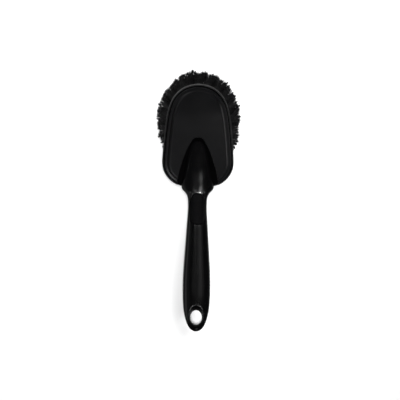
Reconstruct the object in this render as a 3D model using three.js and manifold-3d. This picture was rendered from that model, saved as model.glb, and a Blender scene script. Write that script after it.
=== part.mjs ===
// Wheel brush: an oval flared brush head on a straight tapered grip.
// Units are millimetres, +Z is up, the bristles point down, the head lies
// towards +Y and the grip towards -Y. The origin is under the middle of the
// object's box, on the surface that the bristle tips stand on.
import * as THREE from 'three';
import { mergeVertices } from 'three/addons/utils/BufferGeometryUtils.js';
import Module from 'manifold-3d';

const wasm = await Module();
wasm.setup();

// ---------------------------------------------------------------- dimensions
const CLEARANCE = 0.3;          // gap kept between neighbouring pieces

// heights above the bristle tips
const BLOCK_UNDER = 36.0;       // underside of the bristle block: the free bristle length
const BLOCK_FLOOR = 43.0;       // tray floor that the cover and the tang sit on
const LIP_TOP = 46.6;           // top of the block's raised lip
const COVER_SIDE = 47.9;        // where the cover's side starts to round over
const BORDER_TOP = 49.4;        // sloping border around the raised panel
const PANEL_TOP = 54.0;         // flat raised panel
const LIP_WIDTH = 1.7;          // block lip, seen from above
const GROOVE = 0.9;             // open groove between the lip and the cover
const COVER_WALL = 3.0;         // moulded wall of the cover

// outline of the head, right half, front to rear: half width, Y
const HEAD_OUTLINE = [
  [0, 126.3], [8.3, 125.15], [15.7, 122.3], [22.0, 117.5], [27.3, 110.7],
  [31.0, 101.6], [33.2, 92.0], [34.7, 80.5], [35.9, 69.5], [36.8, 58.0],
  [37.5, 48.5], [37.6, 41.5], [36.3, 35.2], [32.8, 28.7], [27.4, 23.1],
  [20.2, 19.2], [10.8, 17.0], [0, 16.2],
];
const SPINE = [46, 88];         // Y span that the head's inner rings close onto
const PANEL_FALL_START = 92;    // the panel curves down to the border from here
const PANEL_FALL = 4.2;         // and has fallen this far at the front

// V notch in the cover, right half, apex to rear: half width, Y
const NOTCH = [
  [0, 71.2], [2.9, 70.9], [5.0, 69.6], [6.5, 67.6], [8.3, 64.8], [10.6, 60.5],
  [14.1, 52.2], [16.9, 43.6], [19.3, 35.1], [20.8, 27.5], [21.4, 21.5],
  [21.6, 16.5], [21.8, 10.0],
];

// grip and tang stations, front to end: Y, half width, top, bottom, squareness
const GRIP = [
  [67.0, 2.0, 45.8, 42.4, 2.0],
  [66.5, 3.7, 46.4, 41.5, 2.1],
  [65.1, 5.4, 47.0, 40.6, 2.2],
  [62.0, 7.6, 47.75, 39.6, 2.3],
  [56.0, 9.9, 48.85, 38.8, 2.3],
  [48.0, 11.9, 50.2, 38.4, 2.3],
  [39.0, 13.5, 51.75, 38.0, 2.3],
  [36.0, 14.1, 52.25, 38.0, 2.3],
  [31.0, 15.1, 52.85, 37.9, 2.25],
  [25.0, 16.3, 53.5, 37.9, 2.2],
  [19.5, 17.0, 54.2, 37.9, 2.15],
  [16.8, 16.85, 54.5, 37.9, 2.15],
  [14.9, 16.1, 54.7, 37.9, 2.1],
  [12.8, 14.0, 54.9, 37.9, 2.15],
  [10.6, 12.2, 55.0, 37.9, 2.2],
  [8.5, 11.1, 55.0, 37.8, 2.25],
  [6.0, 10.4, 54.95, 37.7, 2.3],
  [2.0, 10.0, 54.8, 37.5, 2.35],
  [-4.0, 9.95, 54.5, 37.1, 2.4],
  [-10.0, 10.2, 54.2, 36.6, 2.4],
  [-20.0, 10.85, 53.7, 35.6, 2.4],
  [-30.0, 11.5, 53.3, 34.5, 2.4],
  [-42.0, 12.25, 52.8, 33.2, 2.4],
  [-54.0, 13.05, 52.2, 31.8, 2.4],
  [-66.0, 13.8, 51.4, 30.6, 2.4],
  [-78.0, 14.4, 50.4, 29.6, 2.4],
  [-90.0, 14.7, 49.0, 28.8, 2.4],
  [-98.0, 14.7, 47.6, 28.4, 2.35],
  [-105.0, 14.5, 46.1, 28.2, 2.3],
  [-111.0, 14.2, 44.6, 28.2, 2.25],
  [-117.1, 13.6, 43.0, 28.4, 2.2],
  [-122.0, 12.85, 41.8, 28.7, 2.2],
  [-127.2, 11.65, 40.6, 29.1, 2.2],
  [-131.0, 10.45, 39.9, 29.5, 2.2],
  [-134.2, 9.2, 39.3, 29.9, 2.2],
  [-137.4, 7.3, 38.6, 30.5, 2.1],
  [-139.6, 5.1, 37.7, 31.3, 2.0],
  [-140.8, 2.9, 36.6, 32.5, 2.0],
];
const GRIP_END = [-141.3, 34.5];          // Y and height of the rounded end
const HANG_HOLE = { y: -125.9, rx: 6.1, ry: 8.1 };
const HOLE_FLARE = 3.1;                   // how far the hole's mouths open out
const HOLE_SWEEP = { ry: 4.3, front: 2.2 }; // the upper mouth opens further towards the head
const PEG = { x: 8.0, y: 29.0, r: 3.0, depth: 3.8 };  // tang's locating pegs

// soft thumb pad let into the neck: a long oval, blunt at the rear
const PAD = { front: 12.4, rear: -21.5, halfWidth: 8.15, floor: 49.9, below: 0.45 };
const PAD_BLUNT = { front: 2.8, rear: 3.7 };

// every Y here is measured from one point on the neck; the finished brush is
// moved by this much, so that its box is centred on the origin
const CENTRE_SHIFT = 3.55;

// bristle field: root and tip ellipses
const ROOTS = { y: 80.6, rx: 27.3, ry: 39.6 };
const TIPS = { y: 80.6, rx: 44.4, ry: 53.9 };
const TUFT_RINGS = [
  { rho: 0.935, tipRho: 0.885, count: 22, phase: 0.5 },
  { rho: 0.675, tipRho: 0.645, count: 16, phase: 0.5 },
  { rho: 0.415, tipRho: 0.400, count: 10, phase: 0.5 },
  { rho: 0.160, tipRho: 0.155, count: 4, phase: 0.5 },
];
const HOLE_R = 2.8;             // blind hole for one tuft
const HOLE_DEPTH = 5.0;
const TUFT_ROOT_R = 2.45;
const TUFT_SIDES = 10;

// ------------------------------------------------------------------ helpers
const plastic = (color, roughness) =>
  new THREE.MeshStandardMaterial({ color, roughness, metalness: 0 });

function toManifold(geometry) {
  const g = geometry.clone();
  g.deleteAttribute('normal');
  g.deleteAttribute('uv');
  const merged = mergeVertices(g, 1e-4);
  const vertProperties = new Float32Array(merged.attributes.position.array);
  const triVerts = new Uint32Array(merged.index.array);
  return new wasm.Manifold(new wasm.Mesh({ numProp: 3, vertProperties, triVerts }));
}

function toGeometry(solid) {
  const m = solid.getMesh();
  const g = new THREE.BufferGeometry();
  const src = m.vertProperties;
  const step = m.numProp;
  const pos = new Float32Array((src.length / step) * 3);
  for (let i = 0, j = 0; i < src.length; i += step, j += 3) {
    pos[j] = src[i];
    pos[j + 1] = src[i + 1];
    pos[j + 2] = src[i + 2];
  }
  g.setAttribute('position', new THREE.BufferAttribute(pos, 3));
  g.setIndex(new THREE.BufferAttribute(new Uint32Array(m.triVerts), 1));
  return g;
}

// Closed solid through rings of equal point counts, closed at each end by a
// fan to an end point. Faces are turned outwards by the sign of the volume.
function loft(rings, startPoint = null, endPoint = null) {
  const n = rings[0].length;
  const mid = (ring) => ring.reduce((s, p) => s.add(p), new THREE.Vector3()).divideScalar(n);
  const pts = [];
  rings.forEach((ring) => ring.forEach((p) => pts.push(p)));
  const a = pts.push(startPoint ?? mid(rings[0])) - 1;
  const b = pts.push(endPoint ?? mid(rings[rings.length - 1])) - 1;
  const tris = [];
  for (let r = 0; r + 1 < rings.length; r++) {
    for (let i = 0; i < n; i++) {
      const j = (i + 1) % n;
      const p = r * n + i, q = r * n + j, s = (r + 1) * n + i, t = (r + 1) * n + j;
      tris.push([p, q, t], [p, t, s]);
    }
  }
  const last = (rings.length - 1) * n;
  for (let i = 0; i < n; i++) {
    const j = (i + 1) % n;
    tris.push([a, j, i], [b, last + i, last + j]);
  }
  let volume = 0;
  for (const [i, j, k] of tris) volume += pts[i].dot(pts[j].clone().cross(pts[k]));
  const index = [];
  for (const [i, j, k] of tris) index.push(...(volume > 0 ? [i, j, k] : [i, k, j]));
  const g = new THREE.BufferGeometry();
  g.setAttribute('position', new THREE.Float32BufferAttribute(pts.flatMap((p) => [p.x, p.y, p.z]), 3));
  g.setIndex(index);
  return g;
}

function prism(points, z0, z1) {
  const shape = new THREE.Shape(points.map(([x, y]) => new THREE.Vector2(x, y)));
  const g = new THREE.ExtrudeGeometry(shape, { depth: z1 - z0, bevelEnabled: false, steps: 1 });
  g.translate(0, 0, z0);
  return g;
}

function smoothstep(a, b, t) {
  const u = Math.min(1, Math.max(0, (t - a) / (b - a)));
  return u * u * (3 - 2 * u);
}

// monotone cubic interpolation through rows sorted by falling first column
function interpolate(rows, x, col) {
  const n = rows.length;
  if (x >= rows[0][0]) return rows[0][col];
  if (x <= rows[n - 1][0]) return rows[n - 1][col];
  let i = 0;
  while (rows[i + 1][0] > x) i++;
  const slope = (k) => (rows[k + 1][col] - rows[k][col]) / (rows[k + 1][0] - rows[k][0]);
  const tangent = (k) => {
    if (k === 0) return slope(0);
    if (k === n - 1) return slope(n - 2);
    const s0 = slope(k - 1), s1 = slope(k);
    return s0 * s1 <= 0 ? 0 : (2 * s0 * s1) / (s0 + s1);
  };
  const h = rows[i + 1][0] - rows[i][0];
  const t = (x - rows[i][0]) / h;
  const t2 = t * t, t3 = t2 * t;
  return (2 * t3 - 3 * t2 + 1) * rows[i][col] + (t3 - 2 * t2 + t) * h * tangent(i)
    + (-2 * t3 + 3 * t2) * rows[i + 1][col] + (t3 - t2) * h * tangent(i + 1);
}

// ------------------------------------------------------------- head outline
const OUTLINE_POINTS = 72;
const outlineCurve = new THREE.CatmullRomCurve3(
  [
    ...HEAD_OUTLINE.map(([x, y]) => new THREE.Vector3(x, y, 0)),
    ...HEAD_OUTLINE.slice(1, -1).reverse().map(([x, y]) => new THREE.Vector3(-x, y, 0)),
  ],
  true,
  'centripetal',
);
const outlineBase = outlineCurve.getSpacedPoints(OUTLINE_POINTS).slice(0, OUTLINE_POINTS);
const outlineNormals = outlineBase.map((p, i) => {
  const a = outlineBase[(i + OUTLINE_POINTS - 1) % OUTLINE_POINTS];
  const b = outlineBase[(i + 1) % OUTLINE_POINTS];
  const t = b.clone().sub(a).normalize();
  return new THREE.Vector3(-t.y, t.x, 0);
});
{
  // the normals point outwards
  const c = new THREE.Vector3(0, 75, 0);
  const s = outlineBase.reduce((v, p, i) => v + p.clone().sub(c).dot(outlineNormals[i]), 0);
  if (s < 0) outlineNormals.forEach((n) => n.negate());
}

// one ring of the head: inset from the outline, height may follow the point
function headRing(inset, height) {
  return outlineBase.map((p, i) => {
    const q = p.clone().addScaledVector(outlineNormals[i], -inset);
    q.z = typeof height === 'function' ? height(q) : height;
    return q;
  });
}

// a ring drawn in towards the head's spine
function innerRing(inset, keep, height) {
  return headRing(inset, 0).map((p) => {
    const s = new THREE.Vector3(0, THREE.MathUtils.clamp(p.y, SPINE[0], SPINE[1]), 0);
    const q = s.clone().add(p.clone().sub(s).multiplyScalar(keep));
    q.z = typeof height === 'function' ? height(q) : height;
    return q;
  });
}

const panelTop = (p) => PANEL_TOP - PANEL_FALL * smoothstep(PANEL_FALL_START, 126, p.y);
// a share 0..1 of the step from the border up to the panel
const stepHeight = (share) => (p) => BORDER_TOP + share * (panelTop(p) - BORDER_TOP);

// ------------------------------------------------------------ bristle block
function tuftAxes() {
  const list = [];
  for (const ring of TUFT_RINGS) {
    for (let i = 0; i < ring.count; i++) {
      const a = ((i + ring.phase) / ring.count) * 2 * Math.PI;
      const c = Math.cos(a), s = Math.sin(a);
      const root = new THREE.Vector3(
        ROOTS.rx * ring.rho * c, ROOTS.y + ROOTS.ry * ring.rho * s, BLOCK_UNDER);
      const tip = new THREE.Vector3(
        TIPS.rx * ring.tipRho * c, TIPS.y + TIPS.ry * ring.tipRho * s, 0);
      list.push({ root, tip, ring });
    }
  }
  return list;
}

// ring of points around an axis, in planes that turn from square-on at the
// root to level at the tips
function roundRing(centre, rx, ry, tilt, sides) {
  const ring = [];
  for (let i = 0; i < sides; i++) {
    const a = ((i + 0.5) / sides) * 2 * Math.PI;
    ring.push(new THREE.Vector3(rx * Math.cos(a), ry * Math.sin(a), 0).applyQuaternion(tilt).add(centre));
  }
  return ring;
}

const UP = new THREE.Vector3(0, 0, 1);

function tuftHole({ root, tip }) {
  const into = root.clone().sub(tip).normalize();
  const tilt = new THREE.Quaternion().setFromUnitVectors(UP, into);
  const mouth = root.clone().addScaledVector(into, -3);
  const end = root.clone().addScaledVector(into, HOLE_DEPTH);
  return loft([
    roundRing(mouth, HOLE_R, HOLE_R, tilt, TUFT_SIDES),
    roundRing(end, HOLE_R, HOLE_R, tilt, TUFT_SIDES),
  ]);
}

// One tuft: filaments folded over their anchor at the bottom of the hole,
// round in the hole, spreading to the trimmed tips.
function tuft({ root, tip }) {
  const into = root.clone().sub(tip).normalize();
  const tilt = new THREE.Quaternion().setFromUnitVectors(UP, into);
  const level = new THREE.Quaternion();
  const at = (t) => tip.clone().lerp(root, t);
  const turned = (t) => level.clone().slerp(tilt, t);
  const deep = root.clone().addScaledVector(into, HOLE_DEPTH - CLEARANCE - 0.1);
  const neck = root.clone().addScaledVector(into, HOLE_DEPTH - 1.5);
  return loft([
    roundRing(at(0), 4.75, 5.9, level, TUFT_SIDES),
    roundRing(at(0.55), 3.5, 4.0, turned(1), TUFT_SIDES),
    roundRing(root, TUFT_ROOT_R, TUFT_ROOT_R, tilt, TUFT_SIDES),
    roundRing(neck, TUFT_ROOT_R, TUFT_ROOT_R, tilt, TUFT_SIDES),
    roundRing(deep, 2.3, 1.0, tilt, TUFT_SIDES),
  ]);
}

const notchOutline = (widen, front) => [
  ...NOTCH.map(([x, y]) => [x === 0 ? 0 : x + widen, y + front]),
  ...NOTCH.slice(1).reverse().map(([x, y]) => [-x - widen, y + front]),
];

function bristleBlock() {
  const body = toManifold(loft([
    headRing(3.0, BLOCK_UNDER),
    headRing(1.4, BLOCK_UNDER + 0.45),
    headRing(0.45, BLOCK_UNDER + 1.4),
    headRing(0, BLOCK_UNDER + 3.0),
    headRing(0, LIP_TOP - 0.8),
    headRing(0.25, LIP_TOP - 0.25),
    headRing(0.8, LIP_TOP),
    headRing(LIP_WIDTH, LIP_TOP),
    headRing(LIP_WIDTH, BLOCK_FLOOR),
    innerRing(LIP_WIDTH, 0.3, BLOCK_FLOOR),
  ]));
  // the lip is open at the rear, where the tang passes over the floor
  const gate = toManifold(prism(notchOutline(0, 0), BLOCK_FLOOR, LIP_TOP + 5));
  let solid = body.subtract(gate);
  for (const axis of tuftAxes()) solid = solid.subtract(toManifold(tuftHole(axis)));
  for (const side of [-1, 1]) {
    const socket = new THREE.CylinderGeometry(PEG.r + CLEARANCE, PEG.r + CLEARANCE, PEG.depth + 3, 16);
    socket.rotateX(Math.PI / 2);
    socket.translate(side * PEG.x, PEG.y, BLOCK_FLOOR - PEG.depth + (PEG.depth + 3) / 2);
    solid = solid.subtract(toManifold(socket));
  }
  return toGeometry(solid);
}

// --------------------------------------------------------------- head cover
function headCover() {
  const edge = LIP_WIDTH + GROOVE;
  const outer = toManifold(loft([
    innerRing(edge, 0.3, BLOCK_FLOOR + CLEARANCE),
    headRing(edge, BLOCK_FLOOR + CLEARANCE),
    headRing(edge, COVER_SIDE),
    headRing(edge + 0.3, COVER_SIDE + 0.65),
    headRing(edge + 0.95, COVER_SIDE + 1.0),
    headRing(edge + 2.6, BORDER_TOP),
    headRing(edge + 3.0, stepHeight(0.12)),
    headRing(edge + 3.5, stepHeight(0.5)),
    headRing(edge + 4.1, stepHeight(0.78)),
    headRing(edge + 5.2, stepHeight(0.95)),
    headRing(edge + 6.8, stepHeight(1)),
    innerRing(edge + 6.8, 0.72, stepHeight(1)),
    innerRing(edge + 6.8, 0.42, stepHeight(1)),
    innerRing(edge + 6.8, 0.14, stepHeight(1)),
  ]));
  // moulded from the underside to an even wall, with a skirt along the notch
  const hollowTop = (p) => panelTop(p) - COVER_WALL;
  const hollow = toManifold(loft([
    innerRing(edge + 6.6, 0.3, BLOCK_FLOOR - 2),
    headRing(edge + 6.6, BLOCK_FLOOR - 2),
    headRing(edge + 6.6, (p) => Math.min(hollowTop(p) - 1.2, 48.6)),
    headRing(edge + 7.6, (p) => hollowTop(p) - 0.3),
    innerRing(edge + 8.4, 1, hollowTop),
    innerRing(edge + 8.4, 0.6, hollowTop),
    innerRing(edge + 8.4, 0.2, hollowTop),
  ]));
  const skirt = toManifold(prism(notchOutline(2.4, 2.4), 30, 70));
  const notch = toManifold(prism(notchOutline(0, 0), 30, 70));
  return toGeometry(outer.subtract(hollow.subtract(skirt)).subtract(notch));
}

// --------------------------------------------------------------- the handle
const SECTION_POINTS = 32;

function gripSection(y, drop = 0) {
  const [w, top, bottom, n] = [1, 2, 3, 4].map((c) => interpolate(GRIP, y, c));
  const zTop = top - drop;
  const mid = (zTop + bottom) / 2;
  const half = (zTop - bottom) / 2;
  const ring = [];
  for (let i = 0; i < SECTION_POINTS; i++) {
    const a = (i / SECTION_POINTS) * 2 * Math.PI;
    const c = Math.cos(a), s = Math.sin(a);
    ring.push(new THREE.Vector3(
      w * Math.sign(c) * Math.abs(c) ** (2 / n),
      y,
      mid + half * Math.sign(s) * Math.abs(s) ** (2 / n),
    ));
  }
  return ring;
}

function gripBody(drop = 0) {
  return loft(
    GRIP.map(([y]) => gripSection(y, drop)),
    new THREE.Vector3(0, GRIP[0][0] + 0.25, 44.3),
    new THREE.Vector3(0, GRIP_END[0], GRIP_END[1]),
  );
}

// oval of the thumb pad
function padOutline(inset) {
  const points = [];
  const mid = 0.5 * (PAD.front + PAD.rear);
  for (let i = 0; i < 36; i++) {
    const a = (i / 36) * 2 * Math.PI;
    const c = Math.cos(a), s = Math.sin(a);
    const reach = s > 0 ? PAD.front - mid : mid - PAD.rear;
    const n = s > 0 ? PAD_BLUNT.front : PAD_BLUNT.rear;
    points.push([
      (PAD.halfWidth - inset) * Math.sign(c) * Math.abs(c) ** (2 / n),
      mid + (reach - inset) * Math.sign(s) * Math.abs(s) ** (2 / n),
    ]);
  }
  return points;
}

function ellipseRing(rx, ry, y, z, shift = 0) {
  const ring = [];
  for (let i = 0; i < 28; i++) {
    const a = (i / 28) * 2 * Math.PI;
    ring.push(new THREE.Vector3(rx * Math.cos(a), y + shift + ry * Math.sin(a), z));
  }
  return ring;
}

function handle() {
  let solid = toManifold(gripBody());
  // clear of the block, on whose floor the tang lies
  solid = solid.subtract(toManifold(loft([
    headRing(-CLEARANCE - 0.1, 10),
    headRing(-CLEARANCE - 0.1, BLOCK_FLOOR + CLEARANCE),
  ])));
  for (const side of [-1, 1]) {
    const peg = new THREE.CylinderGeometry(PEG.r, PEG.r, PEG.depth + 2, 16);
    peg.rotateX(Math.PI / 2);
    peg.translate(side * PEG.x, PEG.y, BLOCK_FLOOR + CLEARANCE + 2 - (PEG.depth + 2) / 2);
    solid = solid.add(toManifold(peg));
  }
  // recess for the thumb pad
  solid = solid.subtract(toManifold(prism(padOutline(0), PAD.floor, 62)));
  // hang hole with flared mouths on both faces
  const { y, rx, ry } = HANG_HOLE;
  const f = HOLE_FLARE;
  const mouth = (open, z) => ellipseRing(
    rx + f * open, ry + HOLE_SWEEP.ry * open, y, z, HOLE_SWEEP.front * open);
  solid = solid.subtract(toManifold(loft([
    mouth(1.9, 52),
    mouth(1, 43.6),
    mouth(0.34, 38.9),
    ellipseRing(rx, ry, y, 36.4),
    ellipseRing(rx, ry, y, 33.6),
    ellipseRing(rx + f * 0.3, ry + f * 0.3, y, 31.0),
    ellipseRing(rx + f * 0.8, ry + f * 0.8, y, 27.6),
    ellipseRing(rx + f * 1.3, ry + f * 1.3, y, 24.0),
  ])));
  return toGeometry(solid);
}

function thumbPad() {
  // follows the neck's own crown, a little below it
  const skin = toManifold(gripBody(PAD.below));
  const oval = toManifold(prism(padOutline(CLEARANCE), PAD.floor + CLEARANCE, 62));
  return toGeometry(oval.intersect(skin));
}

// ------------------------------------------------------------------ the part
const blackPlastic = () => plastic(0x17181a, 0.42);
const darkPlastic = () => plastic(0x111214, 0.5);
const softRubber = () => plastic(0x151517, 0.75);
const bristle = () => plastic(0x202023, 0.6);

const wheelBrush = new THREE.Group();
wheelBrush.name = 'wheel_brush';

function place(name, geometry, material) {
  geometry.translate(0, CENTRE_SHIFT, 0);
  const mesh = new THREE.Mesh(geometry, material);
  mesh.name = name;
  wheelBrush.add(mesh);
}

place('bristle_block', bristleBlock(), darkPlastic());
place('head_cover', headCover(), blackPlastic());
place('handle', handle(), blackPlastic());
place('thumb_pad', thumbPad(), softRubber());
tuftAxes().forEach((axis, i) => {
  place(`tuft_${String(i + 1).padStart(2, '0')}`, tuft(axis), bristle());
});

export default wheelBrush;
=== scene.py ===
# Wheel brush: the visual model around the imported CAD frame. Units are metres;
# lengths in the tables below are millimetres and are scaled once, in mesh().
import math

import bmesh
import bpy
import numpy as np
from mathutils import Matrix, Vector


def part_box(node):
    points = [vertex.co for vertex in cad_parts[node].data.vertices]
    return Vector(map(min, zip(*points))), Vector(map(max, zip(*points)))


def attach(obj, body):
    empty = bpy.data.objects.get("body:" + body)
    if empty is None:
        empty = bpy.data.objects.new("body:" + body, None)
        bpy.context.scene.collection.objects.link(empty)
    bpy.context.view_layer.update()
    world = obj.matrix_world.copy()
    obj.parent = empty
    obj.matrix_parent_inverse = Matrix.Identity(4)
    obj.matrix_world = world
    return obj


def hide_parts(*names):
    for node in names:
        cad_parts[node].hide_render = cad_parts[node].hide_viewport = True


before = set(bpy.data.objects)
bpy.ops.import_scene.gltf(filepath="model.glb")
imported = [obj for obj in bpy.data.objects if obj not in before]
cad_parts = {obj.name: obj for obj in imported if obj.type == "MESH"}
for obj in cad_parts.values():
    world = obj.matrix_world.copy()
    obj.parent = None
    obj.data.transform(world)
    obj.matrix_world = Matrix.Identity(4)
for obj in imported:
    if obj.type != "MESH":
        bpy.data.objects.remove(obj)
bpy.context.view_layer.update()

MM = 0.001

# ------------------------------------------------------------- shared sizes
BLOCK_UNDER, BLOCK_FLOOR, LIP_TOP = 36.0, 43.0, 46.6
COVER_SIDE, BORDER_TOP, PANEL_TOP = 47.9, 49.4, 54.0
LIP_WIDTH, GROOVE = 1.7, 0.9
EDGE = LIP_WIDTH + GROOVE
FALL_START, FALL_END, PANEL_FALL = 92.0, 126.0, 4.2

HEAD_OUTLINE = [
    (0, 126.3), (8.3, 125.15), (15.7, 122.3), (22.0, 117.5), (27.3, 110.7),
    (31.0, 101.6), (33.2, 92.0), (34.7, 80.5), (35.9, 69.5), (36.8, 58.0),
    (37.5, 48.5), (37.6, 41.5), (36.3, 35.2), (32.8, 28.7), (27.4, 23.1),
    (20.2, 19.2), (10.8, 17.0), (0, 16.2),
]
NOTCH = [
    (0, 71.2), (2.9, 70.9), (5.0, 69.6), (6.5, 67.6), (8.3, 64.8), (10.6, 60.5),
    (14.1, 52.2), (16.9, 43.6), (19.3, 35.1), (20.8, 27.5), (21.4, 21.5),
    (21.6, 16.5), (21.8, 10.0),
]
GRIP = np.array([
    (67.0, 2.0, 45.8, 42.4, 2.0), (66.5, 3.7, 46.4, 41.5, 2.1),
    (65.1, 5.4, 47.0, 40.6, 2.2), (62.0, 7.6, 47.75, 39.6, 2.3),
    (56.0, 9.9, 48.85, 38.8, 2.3), (48.0, 11.9, 50.2, 38.4, 2.3),
    (39.0, 13.5, 51.75, 38.0, 2.3), (36.0, 14.1, 52.25, 38.0, 2.3),
    (31.0, 15.1, 52.85, 37.9, 2.25),
    (25.0, 16.3, 53.5, 37.9, 2.2), (19.5, 17.0, 54.2, 37.9, 2.15),
    (16.8, 16.85, 54.5, 37.9, 2.15), (14.9, 16.1, 54.7, 37.9, 2.1),
    (12.8, 14.0, 54.9, 37.9, 2.15), (10.6, 12.2, 55.0, 37.9, 2.2),
    (8.5, 11.1, 55.0, 37.8, 2.25), (6.0, 10.4, 54.95, 37.7, 2.3),
    (2.0, 10.0, 54.8, 37.5, 2.35), (-4.0, 9.95, 54.5, 37.1, 2.4),
    (-10.0, 10.2, 54.2, 36.6, 2.4), (-20.0, 10.85, 53.7, 35.6, 2.4),
    (-30.0, 11.5, 53.3, 34.5, 2.4), (-42.0, 12.25, 52.8, 33.2, 2.4),
    (-54.0, 13.05, 52.2, 31.8, 2.4), (-66.0, 13.8, 51.4, 30.6, 2.4),
    (-78.0, 14.4, 50.4, 29.6, 2.4), (-90.0, 14.7, 49.0, 28.8, 2.4),
    (-98.0, 14.7, 47.6, 28.4, 2.35), (-105.0, 14.5, 46.1, 28.2, 2.3),
    (-111.0, 14.2, 44.6, 28.2, 2.25), (-117.1, 13.6, 43.0, 28.4, 2.2),
    (-122.0, 12.85, 41.8, 28.7, 2.2), (-127.2, 11.65, 40.6, 29.1, 2.2),
    (-131.0, 10.45, 39.9, 29.5, 2.2), (-134.2, 9.2, 39.3, 29.9, 2.2),
    (-137.4, 7.3, 38.6, 30.5, 2.1), (-139.6, 5.1, 37.7, 31.3, 2.0),
    (-140.8, 2.9, 36.6, 32.5, 2.0),
])
GRIP_END = (-141.3, 34.5)
HOLE_Y, HOLE_RX, HOLE_RY, HOLE_FLARE = -125.9, 6.1, 8.1, 3.1
HOLE_SWEEP_RY, HOLE_SWEEP_FRONT = 4.3, 2.2
PAD_FRONT, PAD_REAR, PAD_HALF, PAD_FLOOR, PAD_BELOW = 12.4, -21.5, 8.15, 49.9, 0.45
LEDGE = 13.9                     # the neck steps down to the pad from here

ROOTS_Y, ROOTS_RX, ROOTS_RY = 80.6, 27.3, 39.6
TIPS_Y, TIPS_RX, TIPS_RY = 80.6, 44.4, 53.9
# from the tables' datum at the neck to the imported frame: the handle's end is at -141.3 in the tables
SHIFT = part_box("handle")[0].y / MM + 141.3
TUFT_RINGS = [(0.935, 0.885, 22), (0.675, 0.645, 16), (0.415, 0.400, 10), (0.160, 0.155, 4)]
HOLE_R, HOLE_DEPTH = 2.8, 5.0


# ------------------------------------------------------------------ helpers
def pchip(x, xs, ys):
    """Monotone cubic through (xs, ys), xs rising."""
    x, xs, ys = np.asarray(x, float), np.asarray(xs, float), np.asarray(ys, float)
    h = np.diff(xs)
    s = np.diff(ys) / h
    d = np.zeros_like(ys)
    same = s[:-1] * s[1:] > 0
    d[1:-1][same] = 2 * s[:-1][same] * s[1:][same] / (s[:-1] + s[1:])[same]
    d[0], d[-1] = s[0], s[-1]
    i = np.clip(np.searchsorted(xs, x, side="right") - 1, 0, len(h) - 1)
    t = np.clip((x - xs[i]) / h[i], 0, 1)
    t2, t3 = t * t, t * t * t
    return ((2 * t3 - 3 * t2 + 1) * ys[i] + (t3 - 2 * t2 + t) * h[i] * d[i]
            + (-2 * t3 + 3 * t2) * ys[i + 1] + (t3 - t2) * h[i] * d[i + 1])


def smoothstep(a, b, t):
    u = np.clip((np.asarray(t, float) - a) / (b - a), 0, 1)
    return u * u * (3 - 2 * u)


def spline(points, closed, steps=24):
    """Centripetal Catmull-Rom curve through 2-D points, densely sampled."""
    p = np.asarray(points, float)
    n = len(p)
    out = []
    spans = n if closed else n - 1
    for i in range(spans):
        if closed:
            p0, p1, p2, p3 = p[(i - 1) % n], p[i], p[(i + 1) % n], p[(i + 2) % n]
        else:
            p1, p2 = p[i], p[i + 1]
            p0 = p[i - 1] if i else 2 * p1 - p2
            p3 = p[i + 2] if i + 2 < n else 2 * p2 - p1
        a, b, c = (max(np.linalg.norm(q - r), 1e-9) ** 0.5 for q, r in ((p1, p0), (p2, p1), (p3, p2)))
        m1 = ((p1 - p0) / a - (p2 - p0) / (a + b) + (p2 - p1) / b) * b
        m2 = ((p2 - p1) / b - (p3 - p1) / (b + c) + (p3 - p2) / c) * b
        t = (np.arange(steps) / steps)[:, None]
        out.append((2 * t**3 - 3 * t**2 + 1) * p1 + (t**3 - 2 * t**2 + t) * m1
                   + (-2 * t**3 + 3 * t**2) * p2 + (t**3 - t**2) * m2)
    if not closed:
        out.append(p[-1:])
    return np.concatenate(out)


def spaced(points, count, closed, extra=()):
    """Points at equal steps along a polyline, with extra distances kept."""
    q = np.concatenate([points, points[:1]]) if closed else points
    s = np.concatenate([[0], np.cumsum(np.linalg.norm(np.diff(q, axis=0), axis=1))])
    at = np.linspace(0, s[-1], count, endpoint=not closed)
    if len(extra):
        at = np.unique(np.concatenate([at, extra]))
    return np.stack([np.interp(at, s, q[:, 0]), np.interp(at, s, q[:, 1])], axis=1)


def soften(points, sigma_steps):
    """Evens out a closed polyline of equal steps with a Gaussian."""
    k = np.arange(-int(3 * sigma_steps), int(3 * sigma_steps) + 1)
    w = np.exp(-0.5 * (k / sigma_steps) ** 2)
    w /= w.sum()
    out = np.zeros_like(points)
    for ki, wi in zip(k, w):
        out += wi * np.roll(points, ki, axis=0)
    return out


def normals_2d(p, closed=True):
    if closed:
        t = np.roll(p, -1, axis=0) - np.roll(p, 1, axis=0)
    else:
        t = np.gradient(p, axis=0)
    t /= np.linalg.norm(t, axis=1)[:, None]
    return np.stack([t[:, 1], -t[:, 0]], axis=1)


def distance_to(points, line):
    """Distance from each point to a polyline (open: give its points in order)."""
    a, b = line[:-1], line[1:]
    ab = b - a
    out = np.empty(len(points))
    for lo in range(0, len(points), 2000):
        q = points[lo:lo + 2000]
        t = np.clip(((q[:, None] - a) * ab).sum(2) / np.maximum((ab * ab).sum(1), 1e-12), 0, 1)
        out[lo:lo + 2000] = np.sqrt((((a + t[..., None] * ab) - q[:, None]) ** 2).sum(2)).min(1)
    return out


def mesh(name, verts, faces, smooth=True):
    """A mesh object from millimetre vertices and faces (lists or one array)."""
    me = bpy.data.meshes.new(name)
    v = (np.asarray(verts, float) + (0, SHIFT, 0)) * MM
    faces = [tuple(int(i) for i in f) for f in faces]
    me.from_pydata([tuple(p) for p in v], [], faces)
    me.validate()
    me.update()
    if smooth:
        me.polygons.foreach_set("use_smooth", np.ones(len(me.polygons), bool))
    ob = bpy.data.objects.new(name, me)
    bpy.context.scene.collection.objects.link(ob)
    return ob


def outward(ob):
    bm = bmesh.new()
    bm.from_mesh(ob.data)
    bmesh.ops.recalc_face_normals(bm, faces=bm.faces)
    bm.to_mesh(ob.data)
    bm.free()
    return ob


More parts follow.
